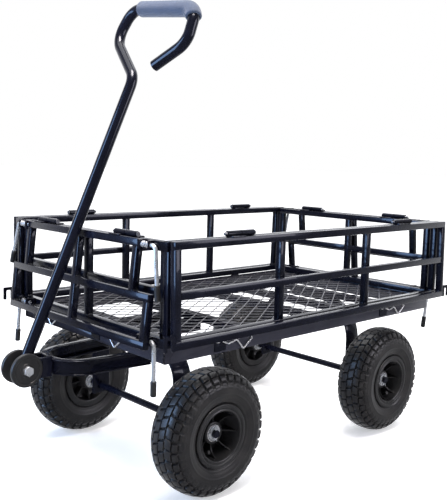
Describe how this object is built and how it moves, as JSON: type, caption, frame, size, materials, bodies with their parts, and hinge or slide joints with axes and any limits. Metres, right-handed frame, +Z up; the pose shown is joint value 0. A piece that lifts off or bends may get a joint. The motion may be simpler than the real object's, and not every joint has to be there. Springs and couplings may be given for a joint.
{
  "type": "garden cart",
  "caption": "Steel mesh garden cart with two-layer folding wall panels, pneumatic tyres, a steered front axle and a pivoting loop handle.",
  "frame": {"origin": "middle of the cart's outline on the ground, under the bed", "axes": "+X forwards towards the pull handle, +Y to the cart's left, +Z up"},
  "size_m": [1.106, 0.6066, 1.0003],
  "materials": {
    "black_powder_coat": "gloss black powder coat",
    "deck_mesh_coat": "gloss black coat over expanded steel",
    "zinc_plate": "bright zinc plate",
    "zinc_rod": "blue-white zinc plate",
    "spring_wire": "bright drawn wire",
    "axle_steel": "semi-gloss black",
    "nylon": "natural nylon",
    "moulded_disc": "semi-gloss black",
    "tyre_rubber": "dull moulded rubber",
    "tube_rubber": "butyl rubber",
    "rim_plastic": "satin moulded plastic",
    "bearing_steel": "ground steel",
    "grip_foam": "slate blue closed-cell foam"
  },
  "bodies": {
    "chassis": {"bed_frame": "black_powder_coat", "deck_mesh": "deck_mesh_coat", "deck_cross_members": "black_powder_coat", "mount_bolts": "zinc_plate", "left_inner_panel": "black_powder_coat", "right_inner_panel": "black_powder_coat", "front_inner_panel": "black_powder_coat", "rear_inner_panel": "black_powder_coat", "front_outer_panel": "black_powder_coat", "hinge_pins": "zinc_plate", "panel_tabs": "black_powder_coat", "panel_wire_clips": "spring_wire", "latch_brackets": "black_powder_coat", "latch_springs": "spring_wire", "rear_axle_bracket": "black_powder_coat", "rear_axle": "axle_steel", "rear_axle_retainers": "zinc_plate", "bolster": "black_powder_coat", "upper_turntable_disc": "black_powder_coat", "king_pin": "zinc_plate"},
    "steering": {"lower_turntable_disc": "black_powder_coat", "turntable_washer": "nylon", "front_axle_bracket": "black_powder_coat", "front_axle": "axle_steel", "front_axle_retainers": "zinc_plate", "yoke_strap": "black_powder_coat", "yoke_flanges": "black_powder_coat", "clevis_bracket": "black_powder_coat", "clevis_discs": "moulded_disc", "pivot_bolt": "zinc_plate"},
    "handle": {"handle_tube": "black_powder_coat", "handle_bush": "black_powder_coat", "handle_grip": "grip_foam"},
    "left_wall": {"left_outer_panel": "black_powder_coat"},
    "right_wall": {"right_outer_panel": "black_powder_coat"},
    "rear_wall": {"rear_outer_panel": "black_powder_coat"},
    "front_left_wheel": {"front_left_tyre": "tyre_rubber", "front_left_inner_tube": "tube_rubber", "front_left_rim": "rim_plastic", "front_left_bearings": "bearing_steel"},
    "front_right_wheel": {"front_right_tyre": "tyre_rubber", "front_right_inner_tube": "tube_rubber", "front_right_rim": "rim_plastic", "front_right_bearings": "bearing_steel"},
    "rear_left_wheel": {"rear_left_tyre": "tyre_rubber", "rear_left_inner_tube": "tube_rubber", "rear_left_rim": "rim_plastic", "rear_left_bearings": "bearing_steel"},
    "rear_right_wheel": {"rear_right_tyre": "tyre_rubber", "rear_right_inner_tube": "tube_rubber", "rear_right_rim": "rim_plastic", "rear_right_bearings": "bearing_steel"},
    "front_left_top_bolt": {"latch_front_left_top": "zinc_rod"},
    "front_left_bottom_bolt": {"latch_front_left_bottom": "zinc_rod"},
    "front_right_top_bolt": {"latch_front_right_top": "zinc_rod"},
    "front_right_bottom_bolt": {"latch_front_right_bottom": "zinc_rod"},
    "rear_left_top_bolt": {"latch_rear_left_top": "zinc_rod"},
    "rear_left_bottom_bolt": {"latch_rear_left_bottom": "zinc_rod"},
    "rear_right_top_bolt": {"latch_rear_right_top": "zinc_rod"},
    "rear_right_bottom_bolt": {"latch_rear_right_bottom": "zinc_rod"}
  },
  "joints": [
    {"name": "steering_turn", "type": "hinge", "parent": "chassis", "child": "steering", "pos_m": [0.23555, 0, 0.273], "axis": [0, 0, 1], "range_deg": [-6, 6]},
    {"name": "handle_pivot", "type": "hinge", "parent": "steering", "child": "handle", "pos_m": [0.51955, 0, 0.256], "axis": [0, 1, 0], "range_deg": [0, 125]},
    {"name": "left_panel_flip", "type": "hinge", "parent": "chassis", "child": "left_wall", "pos_m": [-0.06845, 0.28125, 0.533], "axis": [1, 0, 0], "range_deg": [0, 178.5]},
    {"name": "right_panel_flip", "type": "hinge", "parent": "chassis", "child": "right_wall", "pos_m": [-0.06845, -0.28125, 0.533], "axis": [-1, 0, 0], "range_deg": [0, 178.5]},
    {"name": "rear_panel_flip", "type": "hinge", "parent": "chassis", "child": "rear_wall", "pos_m": [-0.5132, 0, 0.53], "axis": [0, 1, 0], "range_deg": [0, 173.5]},
    {"name": "front_left_wheel_spin", "type": "hinge", "parent": "steering", "child": "front_left_wheel", "pos_m": [0.23555, 0.236, 0.13], "axis": [0, 1, 0], "continuous": true},
    {"name": "front_right_wheel_spin", "type": "hinge", "parent": "steering", "child": "front_right_wheel", "pos_m": [0.23555, -0.236, 0.13], "axis": [0, 1, 0], "continuous": true},
    {"name": "rear_left_wheel_spin", "type": "hinge", "parent": "chassis", "child": "rear_left_wheel", "pos_m": [-0.34245, 0.236, 0.13], "axis": [0, 1, 0], "continuous": true},
    {"name": "rear_right_wheel_spin", "type": "hinge", "parent": "chassis", "child": "rear_right_wheel", "pos_m": [-0.34245, -0.236, 0.13], "axis": [0, 1, 0], "continuous": true},
    {"name": "front_left_top_bolt_slide", "type": "slide", "parent": "chassis", "child": "front_left_top_bolt", "axis": [0, 1, 0], "range_m": [0, 0.014], "stiffness_N_per_m": 500, "springref_m": -0.006},
    {"name": "front_left_bottom_bolt_slide", "type": "slide", "parent": "chassis", "child": "front_left_bottom_bolt", "axis": [0, 1, 0], "range_m": [0, 0.014], "stiffness_N_per_m": 500, "springref_m": -0.006},
    {"name": "front_right_top_bolt_slide", "type": "slide", "parent": "chassis", "child": "front_right_top_bolt", "axis": [0, -1, 0], "range_m": [0, 0.014], "stiffness_N_per_m": 500, "springref_m": -0.006},
    {"name": "front_right_bottom_bolt_slide", "type": "slide", "parent": "chassis", "child": "front_right_bottom_bolt", "axis": [0, -1, 0], "range_m": [0, 0.014], "stiffness_N_per_m": 500, "springref_m": -0.006},
    {"name": "rear_left_top_bolt_slide", "type": "slide", "parent": "chassis", "child": "rear_left_top_bolt", "axis": [0, 1, 0], "range_m": [0, 0.014], "stiffness_N_per_m": 500, "springref_m": -0.006},
    {"name": "rear_left_bottom_bolt_slide", "type": "slide", "parent": "chassis", "child": "rear_left_bottom_bolt", "axis": [0, 1, 0], "range_m": [0, 0.014], "stiffness_N_per_m": 500, "springref_m": -0.006},
    {"name": "rear_right_top_bolt_slide", "type": "slide", "parent": "chassis", "child": "rear_right_top_bolt", "axis": [0, -1, 0], "range_m": [0, 0.014], "stiffness_N_per_m": 500, "springref_m": -0.006},
    {"name": "rear_right_bottom_bolt_slide", "type": "slide", "parent": "chassis", "child": "rear_right_bottom_bolt", "axis": [0, -1, 0], "range_m": [0, 0.014], "stiffness_N_per_m": 500, "springref_m": -0.006}
  ]
}
